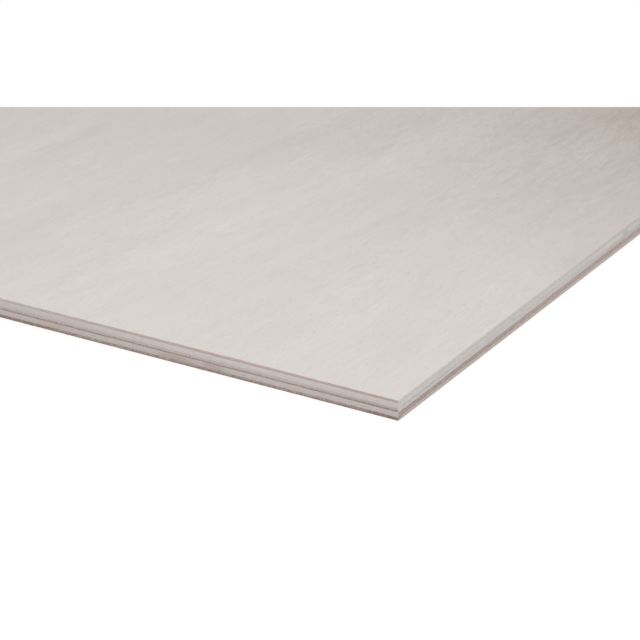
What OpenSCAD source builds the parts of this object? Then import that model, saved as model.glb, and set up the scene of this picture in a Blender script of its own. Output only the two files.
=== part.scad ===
// Five-ply plywood sheet, lying flat on its back ply.
// X runs along the length and the grain of the faces, Y across the width, and Z up.
// The origin is at the middle of the underside.

/* [Sheet] */
// Length of the sheet, along the grain of its faces
sheet_l = 1220; // [600:10:3100]
// Width of the sheet, along the grain of its cross plies
sheet_w = 610; // [300:10:1850]

/* [Lay-up] */
// Thickness of the face ply, and of the back ply that balances it
face_t = 1.5; // [0.8:0.1:3]
// Thickness of each cross ply
cross_t = 2.5; // [0.8:0.1:4]
// Thickness of the core ply
core_t = 2; // [0.8:0.1:4]

/* [Joint in the upper cross ply] */
// Width of the veneer at one end of the sheet
end_strip_w = 224; // [60:1:500]
// Width of the sliver of redder veneer let in beside it
insert_w = 5; // [1:0.5:20]

/* [Arrises] */
// Radius sanded on the outer arrises of the long edges
long_arris_r = 0.5; // [0.1:0.1:0.7]
// Radius left on the outer arrises of the sawn ends
end_arris_r = 0.2; // [0.1:0.1:0.7]

/* [Hidden] */

// Heights of the four glue lines above the underside
back_glue_z = face_t;
lower_core_glue_z = back_glue_z + cross_t;
upper_core_glue_z = lower_core_glue_z + core_t;
face_glue_z = upper_core_glue_z + cross_t;

// Where the three widths of veneer in the upper cross ply begin and end
strip_x = -sheet_l / 2;
insert_x = strip_x + end_strip_w;
main_x = insert_x + insert_w;
main_w = sheet_l - end_strip_w - insert_w;

// Facets of a rounded arris when it is drawn as a mesh
arris_facets = 48;

// Colours of the sanded faces and of the inner veneers as they show on the sawn edges
face_colour = [0.86, 0.84, 0.82];
pale_cross_colour = [0.77, 0.75, 0.73];
red_cross_colour = [0.66, 0.60, 0.57];
core_colour = [0.74, 0.71, 0.69];

// Section of an outer ply, standing on its glue line, with its two outer corners rounded
module eased_section(width, arris_r) {
    flat_w = width - 2 * arris_r;
    side_t = face_t - arris_r;
    translate([-width / 2, 0])
        square([width, side_t]);
    translate([-flat_w / 2, 0])
        square([flat_w, face_t]);
    for (side = [-1, 1])
        translate([side * flat_w / 2, side_t])
            circle(r = arris_r, $fn = arris_facets);
}

// Outer ply with its show side up: one section runs the length, another runs the width,
// and the ply is what they share, so the eased arrises meet in a mitre at each corner
module outer_ply() {
    intersection() {
        rotate([90, 0, 90])
            linear_extrude(sheet_l, center = true)
                eased_section(sheet_w, long_arris_r);
        rotate([90, 0, 0])
            linear_extrude(sheet_w, center = true)
                eased_section(sheet_l, end_arris_r);
    }
}

// Inner veneer, sawn square, across the whole sheet and some way along it
module inner_veneer(start_x, along, thick) {
    translate([start_x, -sheet_w / 2, 0])
        cube([along, sheet_w, thick]);
}

module back_ply() {
    color(face_colour)
        translate([0, 0, back_glue_z])
            mirror([0, 0, 1])
                outer_ply();
}

module lower_cross_ply() {
    color(red_cross_colour)
        translate([0, 0, back_glue_z])
            inner_veneer(-sheet_l / 2, sheet_l, cross_t);
}

module core_ply() {
    color(core_colour)
        translate([0, 0, lower_core_glue_z])
            inner_veneer(-sheet_l / 2, sheet_l, core_t);
}

module upper_cross_end_strip() {
    color(pale_cross_colour)
        translate([0, 0, upper_core_glue_z])
            inner_veneer(strip_x, end_strip_w, cross_t);
}

module upper_cross_insert() {
    color(red_cross_colour)
        translate([0, 0, upper_core_glue_z])
            inner_veneer(insert_x, insert_w, cross_t);
}

module upper_cross_ply() {
    color(pale_cross_colour)
        translate([0, 0, upper_core_glue_z])
            inner_veneer(main_x, main_w, cross_t);
}

module face_ply() {
    color(face_colour)
        translate([0, 0, face_glue_z])
            outer_ply();
}

back_ply();
lower_cross_ply();
core_ply();
upper_cross_end_strip();
upper_cross_insert();
upper_cross_ply();
face_ply();
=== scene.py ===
"""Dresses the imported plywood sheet: seven sawn and sanded veneers, the studio and the camera."""

import logging
import math
from collections.abc import Sequence
from dataclasses import dataclass, field
from enum import Enum

import bpy
import numpy as np
from mathutils import Color, Matrix, Vector
from mathutils.geometry import delaunay_2d_cdt


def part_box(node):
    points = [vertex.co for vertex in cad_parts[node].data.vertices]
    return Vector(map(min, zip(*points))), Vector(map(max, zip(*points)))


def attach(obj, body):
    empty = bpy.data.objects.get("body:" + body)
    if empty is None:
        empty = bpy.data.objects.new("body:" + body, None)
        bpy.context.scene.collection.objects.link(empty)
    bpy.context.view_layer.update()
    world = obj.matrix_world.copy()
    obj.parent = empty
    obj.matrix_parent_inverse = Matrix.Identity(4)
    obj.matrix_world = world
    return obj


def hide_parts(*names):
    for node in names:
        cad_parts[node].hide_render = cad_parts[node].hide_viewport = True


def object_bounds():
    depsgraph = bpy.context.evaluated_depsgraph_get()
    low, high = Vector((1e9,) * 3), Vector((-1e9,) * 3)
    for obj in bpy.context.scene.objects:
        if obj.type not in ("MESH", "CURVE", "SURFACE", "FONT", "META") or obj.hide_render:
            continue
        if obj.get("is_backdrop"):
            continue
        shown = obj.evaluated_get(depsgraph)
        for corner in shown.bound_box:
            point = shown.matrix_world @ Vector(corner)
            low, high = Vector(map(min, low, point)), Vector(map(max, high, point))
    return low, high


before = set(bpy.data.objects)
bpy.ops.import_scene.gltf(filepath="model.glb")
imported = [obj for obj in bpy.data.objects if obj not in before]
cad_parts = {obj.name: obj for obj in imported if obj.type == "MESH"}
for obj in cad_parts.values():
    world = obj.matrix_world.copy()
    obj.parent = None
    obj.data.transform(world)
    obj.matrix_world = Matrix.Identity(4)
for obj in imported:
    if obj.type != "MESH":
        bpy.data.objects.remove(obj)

LOG = logging.getLogger("plywood_sheet")
MM = 0.001

Array = np.ndarray
Box = tuple[Vector, Vector]
Colour = str
Pair = tuple[float, float]
Triple = tuple[float, float, float]
Socket = bpy.types.NodeSocket
Value = Socket | float


def shade(colour: Colour) -> tuple[float, ...]:
    """Turns a colour as seen on a screen into the linear numbers that a shader takes.

    Args:
        colour: Six hexadecimal digits, red first.

    Returns:
        Red, green, blue and alpha, each from 0 to 1.
    """
    seen = Color([int(colour[i : i + 2], 16) / 255 for i in (0, 2, 4)])
    return (*seen.from_srgb_to_scene_linear(), 1.0)


class Grain(Enum):
    """Which way a veneer's fibres run."""

    ALONG = "along the sheet"
    ACROSS = "across the sheet"


class Cut(Enum):
    """What a surface of a veneer shows of its fibres."""

    BROAD = "peeled face"
    LONG = "edge sawn with the grain"
    END = "edge sawn across the grain"


class Show(Enum):
    """Which broad face of a veneer is open to view."""

    TOP = "upper face"
    UNDERSIDE = "lower face"
    NEITHER = "both faces glued"


class Side(Enum):
    """The sides of the sheet in order round it, each with the way it faces."""

    NEAR_LONG = (0, -1)
    FAR_END = (1, 0)
    FAR_LONG = (0, 1)
    NEAR_END = (-1, 0)

    @property
    def is_end(self) -> bool:
        """Whether this is one of the two short sides."""
        return self.value[0] != 0


class Graph:
    """Writes a node tree, with one call for each step of a pattern."""

    # A pattern is 0.5 on average, and mostly stays within 0.25 of that.
    MIDDLE = 0.5
    SWING = 0.25
    PATTERN_ROUGHNESS = 0.55
    # How far a seed shifts a pattern in x, y and z.
    SEED_WAYS = (1.0, 1.7, 2.3)
    # Lighter wood is cooler: how far red, green and blue swing.
    SWUNG = (0.85, 1.06, 1.09)
    WOOD_GLOSS = 0.3
    # Where a mix node has its share, its two colours and its result.
    SHARE, UNDER, OVER, MIXED = 0, 6, 7, 2

    def __init__(self, owner: bpy.types.Material | bpy.types.World) -> None:
        """Starts with an empty tree.

        Args:
            owner: The material or the world that the tree belongs to.
        """
        owner.use_nodes = True
        self.tree = owner.node_tree
        self.tree.nodes.clear()

    def node(
        self, kind: str, inputs: Sequence[object] | dict[str | int, object] = (), **settings: object
    ) -> bpy.types.Node:
        """Adds a node.

        Args:
            kind: The node's type, without the word that all shader nodes start with.
            inputs: What its inputs get, in their order, or by name or place.
            settings: Its properties by name.

        Returns:
            The new node.
        """
        made = self.tree.nodes.new(f"ShaderNode{kind}")
        for name, value in settings.items():
            setattr(made, name, value)
        for key, value in inputs.items() if isinstance(inputs, dict) else enumerate(inputs):
            self._feed(made.inputs[key], value)
        return made

    def _feed(self, socket: Socket, value: object) -> None:
        """Links a value into an input, or sets it there if it is a plain number, vector or colour.

        Args:
            socket: The input.
            value: What it gets.
        """
        if isinstance(value, bpy.types.NodeSocket):
            self.tree.links.new(value, socket)
        else:
            socket.default_value = shade(value) if isinstance(value, str) else value

    def math(self, operation: str, *numbers: Value) -> Socket:
        """Adds a sum on numbers and gives its result."""
        return self.node("Math", numbers, operation=operation).outputs[0]

    def vector(self, operation: str, *vectors: Socket | Triple | Vector) -> Socket:
        """Adds a sum on vectors or colours and gives its result."""
        return self.node("VectorMath", vectors, operation=operation).outputs[0]

    def combine(self, x: Value, y: Value, z: Value) -> Socket:
        """Joins three numbers into a vector."""
        return self.node("CombineXYZ", (x, y, z)).outputs[0]

    def spread(
        self, value: Value, low: float, high: float, to_low: float = 0.0, to_high: float = 1.0
    ) -> Socket:
        """Maps a number smoothly from low and high to two other numbers, held at both ends."""
        numbers = (value, low, high, to_low, to_high)
        return self.node("MapRange", numbers, interpolation_type="SMOOTHSTEP").outputs[0]

    def noise(self, place: Socket, size_mm: tuple[float, ...], seed: float, detail: float) -> Socket:
        """Adds a soft random pattern whose marks have a set size.

        Args:
            place: Where the pattern is read, in metres.
            size_mm: The size of a mark in x, y and, if it matters, z.
            seed: Shifts the pattern, so that no two are alike.
            detail: How many finer layers it has.

        Returns:
            The pattern.
        """
        inputs = {"Vector": self._scaled(place, size_mm, seed), "Scale": 1.0, "Detail": detail}
        return self.node("TexNoise", inputs | {"Roughness": self.PATTERN_ROUGHNESS}).outputs["Fac"]

    def dots(self, place: Socket, cell_mm: Pair, seed: float) -> tuple[Socket, Socket]:
        """Strews dots, one in each cell of a loose grid.

        Args:
            place: Where they are read, in metres.
            cell_mm: The size of a cell in x and y.
            seed: Shifts them, so that no two patterns are alike.

        Returns:
            The distance to the nearest dot, in cells, and a number from 0 to 1 drawn for that dot.
        """
        inputs = {"Vector": self._scaled(place, cell_mm, seed), "Scale": 1.0}
        cells = self.node("TexVoronoi", inputs, voronoi_dimensions="2D").outputs
        return cells["Distance"], self.node("SeparateColor", [cells["Color"]]).outputs[0]

    def _scaled(self, place: Socket, size_mm: tuple[float, ...], seed: float) -> Socket:
        """Scales a place for a pattern.

        Args:
            place: The place, in metres.
            size_mm: What becomes one unit in x, y and, if it matters, z.
            seed: Shifts the place.

        Returns:
            The scaled place.
        """
        scale = (*(1 / (size * MM) for size in size_mm), 0.0)[:3]
        shift = tuple(seed * way for way in self.SEED_WAYS)
        return self.node("Mapping", {"Vector": place, "Location": shift, "Scale": scale}).outputs[0]

    def mix(self, share: Value, under: Socket | Colour, over: Socket | Colour) -> Socket:
        """Lays one colour over another, by a share from 0 to 1."""
        inputs = {self.SHARE: share, self.UNDER: under, self.OVER: over}
        return self.node("Mix", inputs, data_type="RGBA").outputs[self.MIXED]

    def centred(self, pattern: Socket) -> Socket:
        """Shifts a pattern, so that it is 0 on average."""
        return self.math("SUBTRACT", pattern, self.MIDDLE)

    def fade(self, pattern: Socket, strength: Value) -> Socket:
        """Flattens a pattern towards its middle where its strength is low."""
        return self.math("MULTIPLY_ADD", self.centred(pattern), strength, self.MIDDLE)

    def swing(self, colour: Socket, pattern: Socket, reach: float) -> Socket:
        """Makes a colour lighter and cooler, or darker and redder, with a pattern.

        Args:
            colour: The colour.
            pattern: The pattern, which leaves the colour as it is at its middle.
            reach: How far the colour swings each way, as a share of it.

        Returns:
            The swung colour.
        """
        gain = reach / self.SWING
        lift = self.math("MULTIPLY_ADD", pattern, gain, -gain * self.MIDDLE)
        return self.vector("MULTIPLY", colour, self.vector("MULTIPLY_ADD", lift, self.SWUNG, (1, 1, 1)))

    def wood(self, colour: Socket, roughness: Socket, height: Socket, depth: float) -> None:
        """Ends the tree in bare wood.

        Args:
            colour: The colour of the wood.
            roughness: How dull it is.
            height: The relief, from 0 to 1.
            depth: How deep that relief is, in metres.
        """
        bump = self.node("Bump", {"Strength": 1.0, "Distance": depth, "Height": height})
        inputs = {"Base Color": colour, "Roughness": roughness, "Normal": bump.outputs[0]}
        surface = self.node("BsdfPrincipled", inputs | {"Specular IOR Level": self.WOOD_GLOSS})
        self.node("OutputMaterial", [surface.outputs[0]])


@dataclass(frozen=True)
class Stock:
    """What a finish has to know of the veneer that it goes on.

    Attributes:
        name: Name of the veneer.
        grain: Which way its fibres run.
        bottom: Height of its lower face, in metres.
        top: Height of its upper face, in metres.
        corner: The sheet's lowest corner, from which all patterns are measured.
        size: Length, width and thickness of the sheet.
        seed: Shifts its patterns.
    """

    name: str
    grain: Grain
    bottom: float
    top: float
    corner: Vector
    size: Vector
    seed: float


@dataclass(frozen=True)
class WoodSpace:
    """Where a point lies in a veneer, as sockets in metres from the sheet's lowest corner.

    Attributes:
        graph: The tree that reads it.
        seed: Shifts the veneer's patterns.
        sheet: The place along the sheet, across it and up.
        along: Distance along the fibres.
        across: Distance across the fibres, in the plane of the veneer.
        up: Height above the underside of the sheet.
        solid: The last three as one vector.
    """

    graph: Graph
    seed: float
    sheet: Socket
    along: Socket
    across: Socket
    up: Socket
    solid: Socket

    @classmethod
    def of(cls, graph: Graph, stock: Stock) -> "WoodSpace":
        """Reads the place of a surface in its veneer.

        Args:
            graph: The material's tree.
            stock: The veneer.

        Returns:
            The place, turned so that its first number runs with the fibres.
        """
        sheet = graph.vector("SUBTRACT", graph.node("TexCoord").outputs["Object"], stock.corner)
        x, y, z = graph.node("SeparateXYZ", [sheet]).outputs
        along, across = (x, y) if stock.grain is Grain.ALONG else (y, x)
        return cls(graph, stock.seed, sheet, along, across, z, graph.combine(along, across, z))


@dataclass(frozen=True)
class Pattern:
    """A soft random pattern in the wood.

    Attributes:
        size_mm: Size of its marks, along the fibres first.
        seed: Keeps it apart from the veneer's other patterns.
        detail: How many finer layers it has.
        reach: How far it swings the colour each way, as a share of it.
    """

    size_mm: tuple[float, ...]
    seed: int
    detail: int
    reach: float = 0.0

    def draw(self, graph: Graph, spot: Socket, seed: float) -> Socket:
        """Draws the pattern at a place, shifted by the veneer's own seed."""
        return graph.noise(spot, self.size_mm, seed + self.seed, self.detail)


@dataclass(frozen=True)
class Mark:
    """A soft patch of other wood at a set place.

    Attributes:
        middle_mm: Its middle, from the sheet's lowest corner.
        half_mm: Half its length, width and height.
        colour: Its colour.
        shown: How strongly it shows at its middle, from 0 to 1.
        lean: How far its length turns from the sheet's length, in degrees.
        fray: How far its border frays, as a share of its half sizes.
    """

    middle_mm: Triple
    half_mm: Triple
    colour: Colour
    shown: float
    lean: float = 0.0
    fray: float = 1.2

    # Half the height of a patch on a broad face, and half the depth of one on an edge, in millimetres.
    RIGHT_THROUGH = 1000.0
    INTO_EDGE = 4.0
    # How much of a patch is its soft border, as a share.
    BORDER = 0.8

    @classmethod
    def on_face(cls, middle: Pair, half: Pair, colour: Colour, shown: float, **more: float) -> "Mark":
        """Places a patch on a broad face, by its middle and half sizes along the sheet and across it."""
        return cls((*middle, 0.0), (*half, cls.RIGHT_THROUGH), colour, shown, **more)

    @classmethod
    def on_long(cls, middle: Pair, half: Pair, colour: Colour, shown: float, **more: float) -> "Mark":
        """Places a patch on the near long side, by its middle and half sizes along the sheet and up."""
        (x, z), (half_x, half_z) = middle, half
        return cls((x, 0.0, z), (half_x, cls.INTO_EDGE, half_z), colour, shown, **more)

    @classmethod
    def on_end(cls, middle: Pair, half: Pair, colour: Colour, shown: float, **more: float) -> "Mark":
        """Places a patch on the near end, by its middle and half sizes across the sheet and up."""
        return cls((0.0, *middle), (cls.INTO_EDGE, *half), colour, shown, **more)

    def lay(self, place: WoodSpace, shift: Socket, colour: Socket) -> Socket:
        """Lays the patch over a colour, its border frayed by a random shift."""
        return place.graph.mix(self.share(place, shift), colour, self.colour)

    def share(self, place: WoodSpace, shift: Socket) -> Socket:
        """Says how much of the patch shows at a place.

        Args:
            place: The place.
            shift: A random vector about 0 that frays the border.

        Returns:
            A number from 0 to the strength of the patch.
        """
        graph = place.graph
        middle, half = (tuple(size * MM for size in sizes) for sizes in (self.middle_mm, self.half_mm))
        inputs = [place.sheet, middle, (0.0, 0.0, math.radians(self.lean)), half]
        moved = graph.node("Mapping", inputs, vector_type="TEXTURE").outputs[0]
        frayed = graph.vector("MULTIPLY_ADD", shift, (self.fray,) * 3, moved)
        ball = graph.node("TexGradient", [frayed], gradient_type="SPHERICAL").outputs["Fac"]
        return graph.spread(ball, 0.0, self.BORDER, 0.0, self.shown)


@dataclass(frozen=True)
class BroadFinish:
    """The sanded face of a peeled veneer.

    Attributes:
        cool: Colour of the greener clouds.
        warm: Colour of the pinker clouds.
        pore: Colour of the short pores.
        blush: Colour of the wood round them.
        heart: Colour of the belts of heartwood.
        sap: Colour of the belts of sapwood.
        drawn: Length and width of the corner where marks alone make the figure, if there is one.
        marks: Patches that stand out.
        porous: A patch where the pores show most, if there is one.
        streaky: A patch where the grain shows most, if there is one.
    """

    cool: Colour = "dcd7d2"
    warm: Colour = "dcd6d1"
    pore: Colour = "966d65"
    blush: Colour = "d3c6c1"
    heart: Colour = "c6bab3"
    sap: Colour = "e2ded9"
    drawn: Pair | None = None
    marks: tuple[Mark, ...] = ()
    porous: Mark | None = None
    streaky: Mark | None = None

    # Patterns that follow the bent figure.
    CLOUDS = Pattern((240, 36), 0, detail=2, reach=0.014)
    BANDS = Pattern((100, 9), 5, detail=3, reach=0.01)
    MOTTLE = Pattern((30, 11), 7, detail=4, reach=0.011)
    PATCHES = Pattern((13, 4.5), 35, detail=4, reach=0.064)
    STREAKS = Pattern((280, 13), 43, detail=4, reach=0.026)
    RINGS = Pattern((900, 150), 45, detail=3, reach=0.023)
    FRETS = Pattern((22, 5), 19, detail=4)
    BLUSHES = Pattern((14, 3.4), 23, detail=4)
    BELTS = Pattern((900, 95), 41, detail=6)
    # Patterns that follow the straight fibres.
    FLECKS = Pattern((6, 2.6), 33, detail=2, reach=0.009)
    FIBRES = Pattern((10, 0.8), 9, detail=2, reach=0.017)
    THREADS = Pattern((12, 0.36), 31, detail=1, reach=0.024)
    HAIRS = Pattern((1.9, 0.28), 11, detail=1, reach=0.037)
    GRAIN = Pattern((5, 0.55), 27, detail=2, reach=0.108)
    SWAY = Pattern((420, 150), 2, detail=1)
    PORE_ROWS = Pattern((6, 6), 15, detail=2)
    PORE_REGIONS = Pattern((260, 80), 17, detail=1)
    GRAIN_REGIONS = Pattern((260, 80), 29, detail=1)
    # Levels give the range of a pattern, and then what its two ends become.
    WARM_LEVELS = (0.36, 0.64)
    HEART_LEVELS = (0.5, 0.68, 0.0, 0.6)
    SAP_LEVELS = (0.32, 0.46, 0.5, 0.0)
    PORE_LEVELS = (0.44, 0.7, 0.05, 0.3)
    GRAIN_LEVELS = (0.44, 0.7, 0.1, 0.45)
    BLUSH_LEVELS = (0.44, 0.7, 0.0, 0.27)
    ROUGH_LEVELS = (0.3, 0.7, 0.66, 0.56)
    # The figure leans more, further across the sheet, and sways.
    LEAN_LEVELS = (0.03, 0.18, 0.0, 0.2)
    LEAN_WAVE = 0.3
    SWAY_REACH = 0.06
    # How far from the drawn corner chance has taken over.
    BELT_START = 0.25
    RING_START = 0.14
    # How many rings the range of their pattern makes.
    RING_COUNT = 22.0
    # Pores: their cells, how far their rows are out of line, how a pore fades, and how few cells have one.
    PORE_CELL_MM = (8, 2.0)
    PORE_SEED = 13
    PORE_ROW_SHIFT = 0.03
    PORE_FADE = (0.04, 0.14, 0.6, 0.0)
    PORE_CHANCE = (0.79, 1.04)
    # The relief, and how much of it the fibres have beside the threads.
    RELIEF = 0.01 * MM
    FIBRE_RELIEF = 0.6

    def material(self, stock: Stock) -> bpy.types.Material:
        """Makes the material of the face.

        Args:
            stock: The veneer that it goes on.

        Returns:
            The material.
        """
        material = bpy.data.materials.new(f"{stock.name}_face")
        graph = Graph(material)
        place = WoodSpace.of(graph, stock)
        figure = self._figure(place)
        bent = (self.CLOUDS, self.BANDS, self.MOTTLE)
        straight = (self.FLECKS, self.FIBRES, self.THREADS, self.HAIRS)
        drawn = {each: each.draw(graph, figure, stock.seed) for each in bent}
        drawn |= {each: each.draw(graph, place.solid, stock.seed) for each in straight}
        colour = graph.mix(graph.spread(drawn[self.CLOUDS], *self.WARM_LEVELS), self.cool, self.warm)
        colour = self._belts(place, figure, colour)
        frets = self.FRETS.draw(graph, figure, stock.seed)
        shift = graph.combine(graph.centred(drawn[self.MOTTLE]), graph.centred(frets), 0.0)
        for mark in self.marks:
            colour = mark.lay(place, shift, colour)
        streaky = self._zone(place, shift, self.streaky, self.GRAIN_REGIONS, self.GRAIN_LEVELS)
        porous = self._zone(place, shift, self.porous, self.PORE_REGIONS, self.PORE_LEVELS)
        drawn[self.GRAIN] = graph.fade(self.GRAIN.draw(graph, place.solid, stock.seed), streaky)
        drawn[self.PATCHES] = graph.fade(self.PATCHES.draw(graph, figure, stock.seed), streaky)
        drawn[self.STREAKS] = graph.fade(
            self.STREAKS.draw(graph, figure, stock.seed), self._beyond(place, self.BELT_START)
        )
        drawn[self.RINGS] = graph.fade(self._rings(place, figure), self._beyond(place, self.RING_START))
        blush = graph.spread(self.BLUSHES.draw(graph, figure, stock.seed), *self.BLUSH_LEVELS)
        blushing = graph.math("MULTIPLY", blush, graph.math("MAXIMUM", porous, streaky))
        colour = graph.mix(blushing, colour, self.blush)
        for each, pattern in drawn.items():
            colour = graph.swing(colour, pattern, each.reach)
        colour = graph.mix(graph.math("MULTIPLY", self._pores(place), porous), colour, self.pore)
        roughness = graph.spread(drawn[self.BANDS], *self.ROUGH_LEVELS)
        height = graph.math("MULTIPLY_ADD", drawn[self.FIBRES], self.FIBRE_RELIEF, drawn[self.THREADS])
        graph.wood(colour, roughness, height, self.RELIEF)
        return material

    def _figure(self, place: WoodSpace) -> Socket:
        """Bends the wood, so that its figure sways along the sheet and leans in places.

        Args:
            place: The straight wood.

        Returns:
            The bent place.
        """
        graph = place.graph
        lean = graph.spread(place.across, *self.LEAN_LEVELS)
        turn = graph.math("MULTIPLY", place.along, 1 / self.LEAN_WAVE)
        lift = graph.math("MULTIPLY", graph.math("SINE", turn), self.LEAN_WAVE)
        sway = self.SWAY.draw(graph, place.solid, place.seed)
        across = graph.math("MULTIPLY_ADD", lift, lean, place.across)
        across = graph.math("MULTIPLY_ADD", sway, self.SWAY_REACH, across)
        return graph.combine(place.along, across, place.up)

    def _belts(self, place: WoodSpace, figure: Socket, colour: Socket) -> Socket:
        """Lays broad belts of heartwood and sapwood along the fibres.

        Args:
            place: The straight wood.
            figure: The bent wood.
            colour: The colour under them.

        Returns:
            The colour with the belts.
        """
        graph = place.graph
        beyond = self._beyond(place, self.BELT_START)
        belts = self.BELTS.draw(graph, figure, place.seed)
        for wood, levels in ((self.heart, self.HEART_LEVELS), (self.sap, self.SAP_LEVELS)):
            colour = graph.mix(graph.math("MULTIPLY", graph.spread(belts, *levels), beyond), colour, wood)
        return colour

    def _beyond(self, place: WoodSpace, width: float) -> Value:
        """Says where the figure is left to chance: beyond the corner that marks alone make, if there is one.

        Args:
            place: The straight wood.
            width: How far from that corner chance has taken over.

        Returns:
            A number from 0 to 1.
        """
        if self.drawn is None:
            return 1.0
        ways = zip((place.along, place.across), self.drawn)
        return place.graph.math("MAXIMUM", *(place.graph.spread(way, at, at + width) for way, at in ways))

    def _rings(self, place: WoodSpace, figure: Socket) -> Socket:
        """Draws growth rings, each darkening slowly and ending sharply.

        Args:
            place: The straight wood.
            figure: The bent wood.

        Returns:
            A number from 0 in late wood to 1 in early wood.
        """
        graph = place.graph
        years = graph.math("MULTIPLY", self.RINGS.draw(graph, figure, place.seed), self.RING_COUNT)
        return graph.spread(graph.math("FRACT", years), 0.0, 1.0, 1.0, 0.0)

    @staticmethod
    def _zone(
        place: WoodSpace, shift: Socket, patch: Mark | None, regions: Pattern, levels: tuple[float, ...]
    ) -> Socket:
        """Says where a feature of the wood shows most: in one patch, and in regions left to chance.

        Args:
            place: The straight wood.
            shift: A random vector about 0 that frays the border of the patch.
            patch: The patch, if there is one.
            regions: The pattern of the regions.
            levels: The range of that pattern, and the least and the most that shows.

        Returns:
            A number from 0 to 1.
        """
        region = place.graph.spread(regions.draw(place.graph, place.solid, place.seed), *levels)
        if patch is None:
            return region
        return place.graph.math("MAXIMUM", region, patch.share(place, shift))

    def _pores(self, place: WoodSpace) -> Socket:
        """Strews short pores along the fibres.

        Args:
            place: The straight wood.

        Returns:
            How much of a pore shows, from 0 to 1.
        """
        graph = place.graph
        rows = self.PORE_ROWS.draw(graph, graph.combine(0.0, place.across, 0.0), place.seed)
        along = graph.math("MULTIPLY_ADD", rows, self.PORE_ROW_SHIFT, place.along)
        spot = graph.combine(along, place.across, 0.0)
        distance, chance = graph.dots(spot, self.PORE_CELL_MM, place.seed + self.PORE_SEED)
        pore = graph.spread(distance, *self.PORE_FADE)
        return graph.math("MULTIPLY", pore, graph.spread(chance, *self.PORE_CHANCE))


@dataclass(frozen=True)
class EdgeSpace:
    """Where a point lies on a sawn edge, as sockets in metres.

    Attributes:
        graph: The tree that reads it.
        run: Distance along the edge, from the sheet's lowest corner.
        up: Height above the underside of the sheet.
        depth: Distance behind the sheet's side.
        share: Height above the bottom of the veneer, as a share of its thickness.
        nearest: Distance to the nearer end of the edge.
    """

    graph: Graph
    run: Socket
    up: Socket
    depth: Socket
    share: Socket
    nearest: Socket

    @classmethod
    def of(cls, place: WoodSpace, cut: Cut, stock: Stock) -> "EdgeSpace":
        """Reads the place of a surface on its edge.

        Args:
            place: The place in the veneer.
            cut: Whether the saw went with the grain or across it.
            stock: The veneer.

        Returns:
            The place on the edge.
        """
        graph = place.graph
        run, depth = (place.along, place.across) if cut is Cut.LONG else (place.across, place.along)
        along_sheet = (cut is Cut.LONG) == (stock.grain is Grain.ALONG)
        span = stock.size.x if along_sheet else stock.size.y
        thick = stock.top - stock.bottom
        share = graph.math("MULTIPLY_ADD", place.up, 1 / thick, (stock.corner.z - stock.bottom) / thick)
        nearest = graph.math("MINIMUM", run, graph.math("SUBTRACT", span, run))
        return cls(graph, run, place.up, depth, share, nearest)


@dataclass(frozen=True)
class Streaks:
    """Marks that repeat along a sawn edge.

    Attributes:
        size_mm: Their length along the edge and their height.
        reach: How far they swing the colour, as a share of it.
        slant: How far they lean, as a length for each unit of height.
    """

    size_mm: Pair
    reach: float = 0.0
    slant: float = 0.0

    DEPTH_MM = 40

    def draw(self, edge: EdgeSpace, seed: float, detail: int = 2) -> Socket:
        """Draws the pattern of the marks.

        Args:
            edge: The place on the edge.
            seed: Shifts the pattern.
            detail: How many finer layers it has.

        Returns:
            The pattern.
        """
        leaned = edge.graph.math("MULTIPLY_ADD", edge.up, self.slant, edge.run)
        spot = edge.graph.combine(leaned, edge.up, edge.depth)
        return edge.graph.noise(spot, (*self.size_mm, self.DEPTH_MM), seed, detail)


@dataclass(frozen=True)
class Line:
    """A thin line that runs along a sawn edge.

    Attributes:
        colour: Its colour.
        at: Its height, as a share of the veneer's thickness.
        half: Half its width, as a share of the thickness.
        shown: How strongly it shows.
        breaks: The pattern's level under which it breaks off, from 0 to 1.
        ragged: How far torn fibres roughen its border, as a share of half its width.
        dotted: How much of it is left between its dots.
    """

    colour: Colour
    at: float
    half: float
    shown: float
    breaks: float = 0.4
    ragged: float = 1.5
    dotted: float = 0.7

    # How it wavers, how fibres tear its border, where it breaks off, and how much of its width is solid.
    WAVER = Pattern((9, 9, Streaks.DEPTH_MM), 16, detail=3)
    WAVER_REACH = 1.6
    TEAR = Streaks((0.8, 0.5))
    TEAR_SEED = 24
    TEAR_REACH = 2.0
    BREAKS = Pattern((11, 11, Streaks.DEPTH_MM), 20, detail=4)
    BREAK_LEVELS = (-0.08, 0.2)
    DOT_LEVELS = (0.35, 0.6)
    SOLID_SHARE = 0.25

    def draw(self, edge: EdgeSpace, seed: float, colour: Socket) -> Socket:
        """Draws the line over a colour.

        Args:
            edge: The place on the edge.
            seed: Shifts its wavering and its breaks.
            colour: The colour under the line.

        Returns:
            The colour with the line.
        """
        graph = edge.graph
        spot = graph.combine(edge.run, 0.0, edge.depth)
        waver = graph.centred(self.WAVER.draw(graph, spot, seed))
        level = graph.math("MULTIPLY_ADD", waver, self.WAVER_REACH * self.half, edge.share)
        torn = self.TEAR.draw(edge, seed + self.TEAR_SEED)
        rough = self.TEAR_REACH * self.ragged * self.half
        level = graph.math("MULTIPLY_ADD", graph.centred(torn), rough, level)
        away = graph.math("ABSOLUTE", graph.math("SUBTRACT", level, self.at))
        drawn = graph.spread(away, self.SOLID_SHARE * self.half, self.half, self.shown, 0.0)
        whole = self.BREAKS.draw(graph, spot, seed)
        fade = graph.spread(whole, *(self.breaks + step for step in self.BREAK_LEVELS))
        dots = graph.spread(torn, *self.DOT_LEVELS, 1.0, self.dotted)
        share = graph.math("MULTIPLY", drawn, graph.math("MULTIPLY", fade, dots))
        return graph.mix(share, colour, self.colour)


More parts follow.
